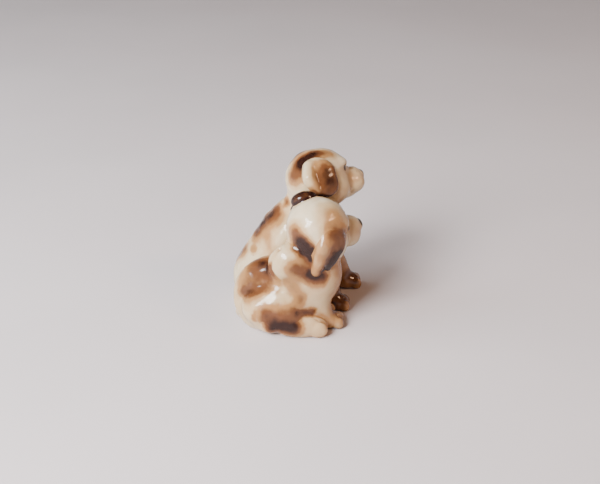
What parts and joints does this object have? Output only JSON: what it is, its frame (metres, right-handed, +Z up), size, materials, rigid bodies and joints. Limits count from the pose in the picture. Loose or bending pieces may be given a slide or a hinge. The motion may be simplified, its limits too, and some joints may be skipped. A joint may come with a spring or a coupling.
{
  "type": "ceramic dog figurine",
  "caption": "Glazed ceramic figurine of a puppy pair seated side by side, heads leaning together, with hollow cast bodies and luted ears, legs and tails.",
  "frame": {"origin": "on the resting plane, under the middle of the whole group's bounding box", "axes": "+Z up; the puppies look along -Y; +X is the puppies' left, the taller puppy's side"},
  "size_m": [0.0462, 0.046, 0.0547],
  "materials": {
    "patched_glaze": "gloss",
    "cream_glaze": "gloss",
    "brown_glaze": "gloss"
  },
  "bodies": {
    "root": {"small_body": "patched_glaze", "small_ear_left": "brown_glaze", "small_ear_right": "brown_glaze", "small_foreleg_left": "cream_glaze", "small_foreleg_right": "cream_glaze", "small_head": "patched_glaze", "small_hind_foot_right": "cream_glaze", "small_tail": "cream_glaze", "tall_body": "patched_glaze", "tall_ear_left": "brown_glaze", "tall_ear_right": "brown_glaze", "tall_foreleg_left": "brown_glaze", "tall_foreleg_right": "brown_glaze", "tall_head": "patched_glaze", "tall_hind_foot_left": "cream_glaze", "tall_hind_foot_right": "cream_glaze", "tall_tail": "cream_glaze"}
  },
  "joints": []
}
